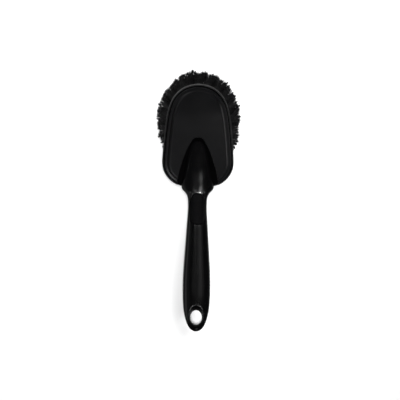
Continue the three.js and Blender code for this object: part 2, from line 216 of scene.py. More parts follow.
def sharp_by_angle(ob, degrees):
    bm = bmesh.new()
    bm.from_mesh(ob.data)
    limit = math.radians(degrees)
    for e in bm.edges:
        e.smooth = not (len(e.link_faces) == 2 and e.calc_face_angle(0.0) > limit)
    bm.to_mesh(ob.data)
    bm.free()
    return ob


def apply(ob, kind, **settings):
    m = ob.modifiers.new(kind, kind)
    for k, v in settings.items():
        setattr(m, k, v)
    bpy.context.view_layer.objects.active = ob
    with bpy.context.temp_override(object=ob, active_object=ob, selected_objects=[ob]):
        bpy.ops.object.modifier_apply(modifier=m.name)


def loft(name, rings, start=None, end=None):
    """Closed solid through equal rings, each end closed by a fan."""
    rings = np.asarray(rings, float)
    r, n = rings.shape[:2]
    v = [*rings.reshape(-1, 3)]
    v.append(rings[0].mean(0) if start is None else np.asarray(start, float))
    v.append(rings[-1].mean(0) if end is None else np.asarray(end, float))
    f = []
    for i in range(r - 1):
        for j in range(n):
            k = (j + 1) % n
            f.append((i * n + j, i * n + k, (i + 1) * n + k, (i + 1) * n + j))
    a, b, last = r * n, r * n + 1, (r - 1) * n
    for j in range(n):
        k = (j + 1) % n
        f.append((a, k, j))
        f.append((b, last + j, last + k))
    return outward(mesh(name, v, f))


# ---------------------------------------------------------------- materials
def principled(name):
    mat = bpy.data.materials.new(name)
    mat.use_nodes = True
    nt = mat.node_tree
    return mat, nt, nt.nodes["Principled BSDF"]


def node(nt, kind, **values):
    n = nt.nodes.new(kind)
    for k, v in values.items():
        if k in n.inputs:
            n.inputs[k].default_value = v
        else:
            setattr(n, k, v)
    return n


def ramp(nt, source, stops):
    r = nt.nodes.new("ShaderNodeValToRGB")
    while len(r.color_ramp.elements) < len(stops):
        r.color_ramp.elements.new(0.5)
    for e, (at, colour) in zip(r.color_ramp.elements, stops):
        e.position = at
        e.color = (*colour, 1) if len(colour) == 3 else colour
    nt.links.new(source, r.inputs["Fac"])
    return r


def moulded(name, dark, light, rough, grain=0.10, grain_mm=0.35, spread=0.05, specular=0.5, coat=0.0, dim_end_reflection=False):
    """Moulded plastic or rubber: a spark-eroded grain, slow changes in gloss and tone, and a slow waviness in the
    surface.
    """
    mat, nt, p = principled(name)
    coord = node(nt, "ShaderNodeTexCoord").outputs["Object"]
    tone = node(nt, "ShaderNodeTexNoise", Scale=38.0, Detail=4.0, Roughness=0.55)
    nt.links.new(coord, tone.inputs["Vector"])
    colour = ramp(nt, tone.outputs["Fac"], [(0.3, dark), (0.7, light)])
    nt.links.new(colour.outputs["Color"], p.inputs["Base Color"])
    gloss = node(nt, "ShaderNodeTexNoise", Scale=95.0, Detail=5.0, Roughness=0.6)
    nt.links.new(coord, gloss.inputs["Vector"])
    level = node(nt, "ShaderNodeMapRange")
    level.inputs["From Min"].default_value = 0.3
    level.inputs["From Max"].default_value = 0.7
    level.inputs["To Min"].default_value = rough - spread
    level.inputs["To Max"].default_value = rough + spread
    nt.links.new(gloss.outputs["Fac"], level.inputs["Value"])
    nt.links.new(level.outputs["Result"], p.inputs["Roughness"])
    fine = node(nt, "ShaderNodeTexNoise", Scale=1.0 / (grain_mm * MM), Detail=2.0, Roughness=0.6)
    nt.links.new(coord, fine.inputs["Vector"])
    slow = node(nt, "ShaderNodeTexNoise", Scale=60.0, Detail=2.0, Roughness=0.5)
    nt.links.new(coord, slow.inputs["Vector"])
    b1 = node(nt, "ShaderNodeBump", Strength=grain, Distance=0.0002)
    nt.links.new(fine.outputs["Fac"], b1.inputs["Height"])
    b2 = node(nt, "ShaderNodeBump", Strength=0.05, Distance=0.0006)
    nt.links.new(slow.outputs["Fac"], b2.inputs["Height"])
    nt.links.new(b1.outputs["Normal"], b2.inputs["Normal"])
    nt.links.new(b2.outputs["Normal"], p.inputs["Normal"])
    p.inputs["Specular IOR Level"].default_value = specular
    p.inputs["Coat Weight"].default_value = coat
    if dim_end_reflection:                       # painted shade: the shine fades out over the hanging end, hiding a lamp's reflection there
        where = node(nt, "ShaderNodeSeparateXYZ")
        nt.links.new(coord, where.inputs[0])
        end_fade = node(nt, "ShaderNodeMapRange")
        end_fade.interpolation_type = "SMOOTHSTEP"
        end_fade.inputs["From Min"].default_value = (-127.0 + SHIFT) * MM
        end_fade.inputs["From Max"].default_value = (-132.0 + SHIFT) * MM
        end_fade.inputs["To Min"].default_value = specular
        end_fade.inputs["To Max"].default_value = 0.06
        nt.links.new(where.outputs["Y"], end_fade.inputs["Value"])
        nt.links.new(end_fade.outputs["Result"], p.inputs["Specular IOR Level"])
    return mat


def fibre(name, colour, rough):
    """One shade of filament: plain colour, fine streaks in gloss along the fibre."""
    mat, nt, p = principled(name)
    p.inputs["Base Color"].default_value = (*colour, 1)
    p.inputs["Specular IOR Level"].default_value = 0.14
    coord = node(nt, "ShaderNodeTexCoord").outputs["Object"]
    streak = node(nt, "ShaderNodeTexNoise", Scale=900.0, Detail=1.0)
    nt.links.new(coord, streak.inputs["Vector"])
    level = node(nt, "ShaderNodeMapRange")
    level.inputs["To Min"].default_value = rough - 0.1
    level.inputs["To Max"].default_value = rough + 0.12
    nt.links.new(streak.outputs["Fac"], level.inputs["Value"])
    nt.links.new(level.outputs["Result"], p.inputs["Roughness"])
    bump = node(nt, "ShaderNodeBump", Strength=0.15, Distance=0.00005)
    nt.links.new(streak.outputs["Fac"], bump.inputs["Height"])
    nt.links.new(bump.outputs["Normal"], p.inputs["Normal"])
    return mat


COVER_MAT = moulded("cover_black", (0.0020, 0.0020, 0.0022), (0.0030, 0.0030, 0.0033), 0.34, specular=0.15)
BLOCK_MAT = moulded("block_black", (0.0026, 0.0026, 0.0028), (0.0044, 0.0044, 0.0047), 0.36, specular=0.40)
# the handle's shine fades out over its hanging end: painted shade
GRIP_MAT = moulded("grip_black", (0.0009, 0.0009, 0.0010), (0.0015, 0.0015, 0.0017), 0.17, grain=0.02, spread=0.03, specular=0.5, dim_end_reflection=True)
# painted shade: a near-black matte material, almost without shine, for the block's floor in the deep gap beside the
# tang
BLOCK_GAP_SHADE_MAT = moulded("block_gap_painted_shade", (0.0005, 0.0005, 0.0006), (0.0010, 0.0010, 0.0011), 0.85, grain=0.3, specular=0.04)
PAD_MAT = moulded("pad_rubber", (0.0014, 0.0014, 0.0016), (0.0024, 0.0024, 0.0027), 0.46, grain=0.2, grain_mm=0.5, specular=0.07)
FIBRES = [
    fibre("fibre_deep", (0.0010, 0.0010, 0.0012), 0.45),
    fibre("fibre_mid", (0.0046, 0.0046, 0.0049), 0.42),
    fibre("fibre_grey", (0.0190, 0.0190, 0.0197), 0.40),
]

# ------------------------------------------------------------- head outline
right = HEAD_OUTLINE
ring = right + [(-x, y) for x, y in reversed(right[1:-1])]
OUTLINE = soften(spaced(spline(ring, True), 720, True), 4.0)   # clockwise from the front
OUTLINE = np.roll(OUTLINE, -int(np.argmax(OUTLINE[:, 1])), axis=0)
if OUTLINE[10, 0] < 0:
    OUTLINE = np.roll(OUTLINE[::-1], 1, axis=0)
NORMAL = normals_2d(OUTLINE)
if ((OUTLINE - OUTLINE.mean(0)) * NORMAL).sum() < 0:
    NORMAL = -NORMAL
NOTCH_HALF = spline(NOTCH, False, 24)
NOTCH_LINE = np.concatenate([NOTCH_HALF[::-1], NOTCH_HALF[1:] * (-1, 1)])   # right rear, apex, left rear


def panel_top(y):
    return PANEL_TOP - PANEL_FALL * smoothstep(FALL_START, FALL_END, y)


SIDE_S = [0.0, 0.06, 0.25, 0.60, 1.10, 2.00, 2.90]
SIDE_Z = [47.90, 48.28, 48.62, 48.84, 49.00, 49.22, 49.40]
STEP_S = [2.90, 3.05, 3.50, 4.30, 4.75, 5.20, 6.00, 7.00]
STEP_Z = [0.00, 0.03, 0.25, 0.72, 0.885, 0.955, 0.992, 1.0]


def cover_height(p):
    """Top of the cover at 2-D points: rounded side, sloping border, step up to the panel, rounded notch edge."""
    s = distance_to(p, np.concatenate([OUTLINE, OUTLINE[:1]])) - EDGE
    z = pchip(np.clip(s, 0, 2.9), SIDE_S, SIDE_Z)
    share = pchip(np.clip(s, 2.9, 7.0), STEP_S, STEP_Z)
    z = z + share * (panel_top(p[:, 1]) - BORDER_TOP - 0.3 * np.minimum((p[:, 0] / 28.0) ** 2, 1.2))
    r = 0.55
    d = np.clip(distance_to(p, NOTCH_LINE), 0, r)
    return z - (r - np.sqrt(np.maximum(r * r - (r - d) ** 2, 0)))


# --------------------------------------------------------------- head cover
def head_cover():
    # the outer edge, from where the notch opens at the right rear, round the
    # front, to the left rear
    edge = OUTLINE - NORMAL * EDGE
    # where the edge crosses the notch line
    nx = np.interp(edge[:, 1], NOTCH_HALF[::-1, 1], NOTCH_HALF[::-1, 0])
    inside = (np.abs(edge[:, 0]) < nx) & (edge[:, 1] < 40)
    keep = np.where(~inside)[0]
    half = len(OUTLINE) // 2
    right_side = [i for i in keep if 0 <= i <= half]
    path = np.concatenate([edge[right_side][::-1], edge[[i for i in keep if i > half]][::-1]])
    path_n = np.concatenate([NORMAL[right_side][::-1], NORMAL[[i for i in keep if i > half]][::-1]])
    # equal steps along it, closer at the rear ends
    s = np.concatenate([[0], np.cumsum(np.linalg.norm(np.diff(path, axis=0), axis=1))])
    total = s[-1]
    n_u = 420
    u = np.linspace(0, 1, n_u)
    at = total * (u - 0.035 * np.sin(2 * np.pi * 2 * u) / (2 * np.pi) * 2)
    outer = np.stack([np.interp(at, s, path[:, k]) for k in (0, 1)], 1)
    outer_n = np.stack([np.interp(at, s, path_n[:, k]) for k in (0, 1)], 1)
    outer_n /= np.linalg.norm(outer_n, axis=1)[:, None]
    # the notch edge: starts and ends on the outer edge's ends
    line = NOTCH_LINE
    d0 = np.argmin(np.linalg.norm(line - outer[0], axis=1))
    d1 = np.argmin(np.linalg.norm(line - outer[-1], axis=1))
    line = line[d0:d1 + 1].copy()
    line[0], line[-1] = outer[0], outer[-1]
    ls = np.concatenate([[0], np.cumsum(np.linalg.norm(np.diff(line, axis=0), axis=1))])
    # the front part of the edge closes onto the notch's rounded apex
    apex = 11.0
    mid = ls[-1] / 2
    knots_u = [0, 0.10, 0.33, 0.5, 0.67, 0.90, 1]
    knots_s = [0, 0.115 * ls[-1], mid - apex / 2, mid, mid + apex / 2, 0.885 * ls[-1], ls[-1]]
    on = pchip(u, knots_u, knots_s)
    inner = np.stack([np.interp(on, ls, line[:, k]) for k in (0, 1)], 1)
    inner_n = normals_2d(inner, closed=False)
    if inner_n[n_u // 2, 1] < 0:
        inner_n = -inner_n      # points away from the gap, onto the cover
    out_d = np.array([0, 0.03, 0.10, 0.22, 0.4, 0.65, 1.0, 1.5, 2.1, 2.7, 2.95, 3.1, 3.25, 3.4,
                      3.55, 3.7, 3.9, 4.1, 4.4, 4.8, 5.4, 6.2, 7.2])
    in_d = np.array([2.4, 1.4, 0.8, 0.55, 0.42, 0.30, 0.20, 0.12, 0.06, 0.02, 0])
    between = np.linspace(0, 1, 12)[1:-1]
    width = np.linalg.norm(inner - outer, axis=1)
    k = np.clip(width / (out_d[-1] + in_d[0] + 1.5), 0, 1)[:, None]
    rows = [outer - outer_n * d * k for d in out_d]
    a, b = rows[-1], inner + inner_n * in_d[0] * k
    rows += [a + (b - a) * t for t in between]
    rows += [inner + inner_n * d * k for d in in_d]
    top = np.array(rows)                      # v, u, 2
    flat = top.reshape(-1, 2)
    z = cover_height(flat).reshape(top.shape[:2])
    low = np.full(n_u, BLOCK_FLOOR + 0.3)
    grid = [np.column_stack([outer, low]), np.column_stack([outer, 0.5 * low + 0.5 * z[0]])]
    grid += [np.column_stack([top[i], z[i]]) for i in range(len(top))]
    grid += [np.column_stack([inner, 0.5 * low + 0.5 * z[-1]]), np.column_stack([inner, low])]
    grid = np.array(grid)
    m = len(grid)
    v = grid.reshape(-1, 3)
    f = []
    for i in range(m):
        i2 = (i + 1) % m                      # the last strip is the underside
        for j in range(n_u - 1):
            f.append((i * n_u + j, i * n_u + j + 1, i2 * n_u + j + 1, i2 * n_u + j))
    ob = mesh("head_cover_shell", v, f)
    bm = bmesh.new()
    bm.from_mesh(ob.data)
    bmesh.ops.remove_doubles(bm, verts=bm.verts, dist=0.004 * MM)
    bmesh.ops.dissolve_degenerate(bm, dist=0.002 * MM, edges=bm.edges)
    bmesh.ops.holes_fill(bm, edges=bm.edges, sides=200)
    bmesh.ops.recalc_face_normals(bm, faces=bm.faces)
    bm.to_mesh(ob.data)
    bm.free()
    sharp_by_angle(ob, 50)
    ob.data.materials.append(COVER_MAT)
    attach(ob, "root")
    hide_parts("head_cover")
    return ob


# ------------------------------------------------------------ bristle block
def tuft_axes():
    out = []
    for ring_no, (rho, tip_rho, count) in enumerate(TUFT_RINGS):
        for i in range(count):
            a = (i + 0.5) / count * 2 * math.pi
            root = np.array([ROOTS_RX * rho * math.cos(a), ROOTS_Y + ROOTS_RY * rho * math.sin(a), BLOCK_UNDER])
            tip = np.array([TIPS_RX * tip_rho * math.cos(a), TIPS_Y + TIPS_RY * tip_rho * math.sin(a), 0.0])
            out.append((root, tip, a, ring_no))
    return out


def bristle_block():
    base = spaced(OUTLINE, 380, True)
    nrm = normals_2d(base)
    if ((base - base.mean(0)) * nrm).sum() < 0:
        nrm = -nrm

    def ring(inset, z):
        return np.column_stack([base - nrm * inset, np.full(len(base), float(z))])

    rings = [ring(d, z) for d, z in (
        (9.0, 36.0), (3.4, 36.0), (2.6, 36.05), (1.9, 36.2), (1.25, 36.5), (0.75, 36.95), (0.35, 37.55),
        (0.1, 38.25), (0, 39.1), (0, 42.0), (0, 45.6), (0.03, 45.95), (0.12, 46.22), (0.28, 46.43),
        (0.5, 46.56), (0.75, 46.6), (1.25, 46.6), (1.45, 46.54), (1.6, 46.42), (1.68, 46.25), (1.7, 46.0),
        (1.7, 43.4), (1.78, 43.1), (2.1, 43.0), (9.0, 43.0))]
    ob = loft("bristle_block_body", rings, (0, 70, 36.0), (0, 70, 43.0))
    # the lip is cut away at the rear, where the tang passes
    gate = [(-21.45, 5.0), (21.45, 5.0), (21.0, 36.0), (-21.0, 36.0)]
    cuts = [loft("cut_gate", [[(x, y, z) for x, y in gate] for z in (43.0, 50.0)])]
    # blind holes for the tufts, drilled at each tuft's own angle
    v, f = [], []
    sides = 20
    ang = np.arange(sides) / sides * 2 * math.pi
    for root, tip, _, _ in tuft_axes():
        into = (root - tip) / np.linalg.norm(root - tip)
        e1 = np.cross(into, (0, 1, 0))
        e1 /= np.linalg.norm(e1)
        e2 = np.cross(into, e1)
        start = len(v)
        for along in (-3.0, HOLE_DEPTH):
            c = root + into * along
            v += [c + HOLE_R * (math.cos(t) * e1 + math.sin(t) * e2) for t in ang]
        v += [root + into * -3.0, root + into * (HOLE_DEPTH + 0.5)]
        for j in range(sides):
            k = (j + 1) % sides
            f.append((start + j, start + k, start + sides + k, start + sides + j))
            f.append((start + 2 * sides, start + k, start + j))
            f.append((start + 2 * sides + 1, start + sides + j, start + sides + k))
    cuts.append(outward(mesh("cut_holes", v, f)))
    for c in cuts:
        apply(ob, "BOOLEAN", operation="DIFFERENCE", object=c, solver="EXACT")
        bpy.data.objects.remove(c)
    sharp_by_angle(ob, 40)
    ob.data.materials.clear()
    ob.data.materials.append(BLOCK_MAT)
    ob.data.materials.append(BLOCK_GAP_SHADE_MAT)
    # the block's upward faces at its floor height, the gap beside the tang among them, take the painted-shade material
    for p in ob.data.polygons:
        p.material_index = int(abs(p.center.z - BLOCK_FLOOR * MM) < 0.2 * MM and p.normal.z > 0.5)
    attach(ob, "root")
    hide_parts("bristle_block")
    return ob


# ------------------------------------------------------------------- handle
def grip_values(y):
    y = np.atleast_1d(np.asarray(y, float))
    xs = GRIP[::-1, 0]
    return [pchip(y, xs, GRIP[::-1, c]) for c in (1, 2, 3, 4)]


def grip_top(x, y, drop=0.0):
    """Height of the grip's upper surface."""
    w, top, bottom, n = grip_values(y)
    top = top - drop
    mid, half = (top + bottom) / 2, (top - bottom) / 2
    return mid + half * np.maximum(1 - np.clip(np.abs(x) / w, 0, 1) ** n, 0) ** (1 / n)


def grip_loft(name, step=1.2, around=112):
    ys = [67.0, 66.8, 66.5, 66.0, 65.1]
    y = 64.1
    while y > -133:
        ys.append(y)
        y -= step
    ys += [-133.4, -134.4, -135.4, -136.4, -137.4, -138.2, -139.0, -139.6, -140.1, -140.5, -140.8, -141.05, -141.2]
    ys = np.array(ys)
    w, top, bottom, n = grip_values(ys)
    # the last sections close on a rounded end
    for i, yy in enumerate(ys):
        if yy < -140.8:
            t = (-140.8 - yy) / 0.5
            k = math.sqrt(max(1 - t * t, 0.0))
            c = GRIP_END[1]
            w[i] *= k
            top[i] = c + (top[i] - c) * k
            bottom[i] = c + (bottom[i] - c) * k
    ang = np.arange(around) / around * 2 * math.pi
    ca, sa = np.cos(ang), np.sin(ang)
    rings = []
    for i, yy in enumerate(ys):
        mid, half = (top[i] + bottom[i]) / 2, (top[i] - bottom[i]) / 2
        x = w[i] * np.sign(ca) * np.abs(ca) ** (2 / n[i])
        z = mid + half * np.sign(sa) * np.abs(sa) ** (2 / n[i])
        rings.append(np.column_stack([x, np.full(around, yy), z]))
    return loft(name, rings, (0, GRIP[0, 0] + 0.25, 44.3), (0, GRIP_END[0], GRIP_END[1]))


def pad_outline(inset, count=120):
    a = np.arange(count) / count * 2 * math.pi
    c, s = np.cos(a), np.sin(a)
    mid = 0.5 * (PAD_FRONT + PAD_REAR)
    reach = PAD_FRONT - mid
    n = np.where(s > 0, 2.8, 3.7)
    return np.column_stack([
        (PAD_HALF - inset) * np.sign(c) * np.abs(c) ** (2 / n),
        mid + (reach - inset) * np.sign(s) * np.abs(s) ** (2 / n)])


def oval(rx, ry, z, count=72, front=0.0):
    a = np.arange(count) / count * 2 * math.pi
    return np.column_stack([rx * np.cos(a), HOLE_Y + front + ry * np.sin(a), np.full(count, z)])


def mouth(open_, z):
    """The hole's upper mouth opens further towards the head."""
    return oval(HOLE_RX + HOLE_FLARE * open_, HOLE_RY + HOLE_SWEEP_RY * open_, z, front=HOLE_SWEEP_FRONT * open_)


def handle():
    ob = grip_loft("handle_body")
    cuts = []
    clear = OUTLINE + NORMAL * 0.4
    cuts.append(loft("cut_block", [np.column_stack([clear[::2], np.full(len(clear[::2]), z)]) for z in (10.0, BLOCK_FLOOR + 0.3)]))
    po = pad_outline(0)
    cuts.append(loft("cut_pad", [np.column_stack([po, np.full(len(po), z)]) for z in (PAD_FLOOR, 62.0)]))
    f = HOLE_FLARE
    cuts.append(loft("cut_hole", [mouth(1.9, 52), mouth(1.35, 46.4), mouth(1.0, 43.6), mouth(0.62, 41.0),
                                  mouth(0.34, 38.9), mouth(0.12, 37.4)]
                     + [oval(HOLE_RX + f * t, HOLE_RY + f * t, z) for t, z in (
                         (0, 36.2), (0, 33.8), (0.12, 32.4), (0.3, 31.0), (0.55, 29.2), (0.8, 27.6), (1.3, 24))]))
    # the ledge between the neck's crown and the pad: a small step, then a slope to the rear
    x = np.linspace(-8.2, 8.2, 34)
    stations = []
    for y, drop in ((LEDGE, 0.40), (LEDGE - 0.8, 0.74), (LEDGE - 1.8, 1.18), (LEDGE - 3.0, 1.72)):
        under = np.column_stack([x, np.full(34, y), grip_top(x, np.full(34, y)) - drop])
        over = np.column_stack([x[::-1], np.full(34, y), np.full(34, 60.0)])
        stations.append(np.concatenate([under, over]))
    cuts.append(loft("cut_ledge", stations))
    for c in cuts:
        apply(ob, "BOOLEAN", operation="DIFFERENCE", object=c, solver="EXACT")
        bpy.data.objects.remove(c)
    for side in (-1, 1):
        a = np.arange(28) / 28 * 2 * math.pi
        peg = loft("peg", [np.column_stack([side * 8.0 + r * np.cos(a), 29.0 + r * np.sin(a), np.full(28, z)]) for r, z in
                           ((2.5, 39.5), (3.0, 39.9), (3.0, 45.0))])
        apply(ob, "BOOLEAN", operation="UNION", object=peg, solver="EXACT")
        bpy.data.objects.remove(peg)
    # one skin with small moulded radii on every edge
    apply(ob, "REMESH", mode="VOXEL", voxel_size=0.46 * MM, adaptivity=0.0, use_smooth_shade=True)
    apply(ob, "SMOOTH", factor=0.5, iterations=5)
    ob.data.polygons.foreach_set("use_smooth", np.ones(len(ob.data.polygons), bool))
    ob.data.materials.clear()
    ob.data.materials.append(GRIP_MAT)
    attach(ob, "root")
    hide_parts("handle")
    return ob


# ---------------------------------------------------------------- thumb pad
def thumb_pad():
    count = 144
    edge = pad_outline(0.45, count)
    centre = np.array([0.0, 0.5 * (PAD_FRONT + PAD_REAR)])
    keeps = [1.0, 0.995, 0.985, 0.97, 0.95, 0.925, 0.89, 0.84, 0.78, 0.7, 0.6, 0.5, 0.4, 0.3, 0.2, 0.1]
    rings = []
    for z in (PAD_FLOOR + 0.3, 51.2):
        rings.append(np.column_stack([edge, np.full(count, z)]))
    for k in keeps:
        p = centre + (edge - centre) * k
        inset = (1 - k) * PAD_HALF
        top = grip_top(p[:, 0], p[:, 1], PAD_BELOW)
        dish = 0.35 * (1 - (np.clip(1 - inset / PAD_HALF, 0, 1)) ** 2) + 0.95 * smoothstep(3.0, PAD_FRONT, p[:, 1])
        r = 0.55
        d = np.clip(inset, 0, r)
        top = top - (r - math.sqrt(max(r * r - (r - d) ** 2, 0))) - dish
        rings.append(np.column_stack([p, top]))
    ob = loft("thumb_pad_insert", rings)
    sharp_by_angle(ob, 50)
    ob.data.materials.append(PAD_MAT)
    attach(ob, "root")
    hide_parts("thumb_pad")
    return ob


# ------------------------------------------------------------------ bristles
def tubes(paths, radii, sides, spin):
    """Closed tubes along paths (m, r, 3), with radii (m, r). Returns vertices and quads/tris."""
    m, r = paths.shape[:2]
    t = np.gradient(paths, axis=1)
    t /= np.maximum(np.linalg.norm(t, axis=2, keepdims=True), 1e-9)
    ref = np.array([1.0, 0.0, 0.0])
    e1 = ref - (t @ ref)[..., None] * t
    e1 /= np.linalg.norm(e1, axis=2, keepdims=True)
    e2 = np.cross(t, e1)
    a = spin[:, None, None] + np.arange(sides) / sides * 2 * math.pi       # m, 1, s
    v = (paths[:, :, None] + radii[:, :, None, None]
         * (np.cos(a)[..., None] * e1[:, :, None] + np.sin(a)[..., None] * e2[:, :, None]))
    v = v.reshape(-1, 3)
    base = (np.arange(m) * r * sides)[:, None, None]
    i = (np.arange(r - 1) * sides)[None, :, None]
    j = np.arange(sides)[None, None, :]
    k = (j + 1) % sides
    quads = np.stack([base + i + j, base + i + k, base + i + sides + k, base + i + sides + j], axis=-1).reshape(-1, 4)
    first = (np.arange(m) * r * sides)[:, None] + np.arange(sides)[None, ::-1]
    last = (np.arange(m) * r * sides)[:, None] + (r - 1) * sides + np.arange(sides)[None]
    return v, quads, np.concatenate([first, last])


def fast_mesh(name, v, quads, tris, quad_slot, tri_slot):
    me = bpy.data.meshes.new(name)
    nv, nq, ntri = len(v), len(quads), len(tris)
    me.vertices.add(nv)
    me.vertices.foreach_set("co", ((v + (0, SHIFT, 0)) * MM).astype(np.float32).ravel())
    me.loops.add(nq * 4 + ntri * 3)
    me.loops.foreach_set("vertex_index", np.concatenate([quads.ravel(), tris.ravel()]).astype(np.int32))
    me.polygons.add(nq + ntri)
    starts = np.concatenate([np.arange(nq) * 4, nq * 4 + np.arange(ntri) * 3]).astype(np.int32)
    me.polygons.foreach_set("loop_start", starts)
    me.polygons.foreach_set("material_index", np.concatenate([quad_slot, tri_slot]).astype(np.int32))
    me.polygons.foreach_set("use_smooth", np.ones(nq + ntri, bool))
    me.update(calc_edges=True)
    me.validate()
    ob = bpy.data.objects.new(name, me)
    bpy.context.scene.collection.objects.link(ob)
    return ob


def spread_points(rng, count, aspect):
    """Well-separated points in the square -1..1."""
    got = [rng.uniform(-0.9, 0.9, 2)]
    while len(got) < count:
        cand = rng.uniform(-1, 1, (24, 2))
        gap = np.linalg.norm((cand[:, None] - np.array(got)[None]) * (1, aspect), axis=2).min(1)
        got.append(cand[np.argmax(gap)])
    return np.array(got)


def tuft(index, root, tip, angle, ring_no):
    """Filaments set in one hole, spreading over the tuft's share of the trimmed face, gathered into locks, with split ends."""
    rng = np.random.default_rng(1000 + index)
    _, tip_rho, in_ring = TUFT_RINGS[ring_no]
    outer = ring_no == 0
    n = (560, 220, 190, 190)[ring_no]
    axis = (tip - root) / np.linalg.norm(tip - root)
    radial = np.array([TIPS_RX * math.cos(angle), TIPS_RY * math.sin(angle), 0.0])
    radial -= axis * (radial @ axis)
    radial /= np.linalg.norm(radial)
    along = np.cross(axis, radial)
    turn = np.array([-math.sin(angle), math.cos(angle), 0.0])
    if along @ turn < 0:
        along = -along
    # where each filament stands in the hole, and the same place in a square
    th = rng.uniform(0, 2 * math.pi, n)
    rr = np.sqrt(rng.uniform(0, 1, n))
    disc = np.column_stack([rr * np.cos(th), rr * np.sin(th)])
    start = root + 2.35 * (disc[:, :1] * radial + disc[:, 1:] * along)
    square = disc / np.maximum(np.abs(np.cos(th)), np.abs(np.sin(th)))[:, None]
    square = np.clip(square + rng.normal(0, 0.13, (n, 2)), -1.1, 1.1)
    # the outer tufts close ranks along the trimmed edge
    edge = (rng.uniform(0, 1, n) < 0.56) & outer
    square[edge] = np.column_stack([rng.uniform(0.70, 1.0, n), rng.uniform(-1.12, 1.12, n)])[edge]
    # and end in points
    points = np.linspace(-1.05, 1.05, 7) + rng.uniform(-0.13, 0.13, 7)
    point_reach = rng.uniform(-0.050, 0.045, 7)
    mine = np.argmin(np.abs(square[:, 1:] - points[None]), axis=1)
    pointed = edge & (rng.uniform(0, 1, n) < 0.80)
    square[pointed, 1] += 0.66 * (points[mine] - square[:, 1])[pointed]
    # locks gather the filaments near their tips
    locks = spread_points(rng, (11, 8, 7, 6)[ring_no], 1.1)
    pick = np.argmin(np.linalg.norm(square[:, None] - locks[None], axis=2), axis=1)
    gather = (rng.uniform(0.08, 0.50, n) * np.where(edge, 0.18, 1.0))[:, None]
    spot = square * (1 - gather) + locks[pick] * gather
    lock_reach = rng.normal(0, 0.016, len(locks))[pick]
    lock_lift = rng.uniform(0, 0.7, len(locks))[pick]
    rho = tip_rho + (0.118, 0.135, 0.135, 0.155)[ring_no] * spot[:, 0]
    rho = np.clip(rho, 0.0, 1.006 + 0.008 * rng.normal(0, 1, n)) + (lock_reach * smoothstep(0.85, 1.0, rho) if outer else 0)
    ang = angle + math.pi / in_ring * (1.38, 1.5, 2.0, 2.2)[ring_no] * spot[:, 1]
    rho += np.where(pointed, point_reach[mine] * rng.uniform(0.6, 1.0, n), 0.0)
    side = math.sin(angle)
    rho += np.where(edge & (rng.uniform(0, 1, n) < 0.05), rng.uniform(0.012, 0.036, n), 0.0) * (0.2 if side > 0.9 else 1.0)   # strays
    # the face is trimmed a little fuller at the front and tighter behind its middle
    rho += (0.022 * smoothstep(0.80, 0.98, side) - (0.045 if math.cos(angle) < 0 else 0.030) * smoothstep(-0.15, 0.35, -side)) * smoothstep(0.8, 1.0, rho)
    if side > 0.8:
        rho = np.minimum(rho, 1.045 + 0.007 * np.sin(37 * ang))
    # a slightly squared oval, as the face is trimmed
    q = np.column_stack([np.cos(ang), np.sin(ang)])
    q /= ((np.abs(q) ** 2.2).sum(1) ** (1 / 2.2))[:, None]
    q *= rho[:, None]
    end = np.column_stack([np.clip(TIPS_RX * q[:, 0], -44.9, 44.9), TIPS_Y + TIPS_RY * q[:, 1], np.zeros(n)])
    end[:, 2] = 0.15 + rng.uniform(0, 0.8, n) + lock_lift + 1.8 * smoothstep(0.8, 1.0, rho) * rng.uniform(0.2, 1.0, n)
    # straight out of the hole along the tuft, then spreading
    length = np.linalg.norm(end - start, axis=1)[:, None]
    wave_a, wave_b = rng.uniform(0, 2 * math.pi, (2, n))
    amp = rng.uniform(0.08, (0.45, 0.8, 0.8, 0.8)[ring_no], n)
    bow = np.zeros(n) if outer else rng.normal(0, 1.7, n).clip(-3.2, 3.2)      # the inner tufts fan out under the block
    paths = []
    for s in (-0.12, 0.10, 0.36, 0.62, 0.85):
        s_ = max(s, 0.0)
        mix = s_ ** (0.55 if outer else 0.35)
        p = (start + axis * (length * s)) * (1 - mix) + (start + (end - start) * s_) * mix
        w = amp * math.sin(math.pi * min(s_ * 1.05, 1.0)) ** 0.8 if s_ > 0 else np.zeros(n)
        fan = bow * math.sin(math.pi * min(s_ * 1.1, 1.0))
        paths.append(p + np.column_stack([w * np.cos(wave_a + 5.5 * s_), w * np.cos(wave_b + 4.9 * s_) + fan, np.zeros(n)]))
    main = np.stack(paths, axis=1)
    rad = rng.uniform(0.16, 0.21, n)[:, None] * np.array([1, 1, 0.98, 0.94, 0.86])[None]
    # darker and paler locks at random; the tufts at the front take mostly the darkest shade, painted shade for the
    # front of the bristles, which falls in shadow
    front = smoothstep(0.90, 0.995, math.sin(angle))
    tone = rng.dirichlet((1.1 + 4.0 * front, 1.3 - 0.7 * front, 0.55 - 0.5 * front), len(locks))
    shade = (rng.uniform(0, 1, n)[:, None] > np.cumsum(tone, axis=1)[pick]).sum(1).clip(0, 2)
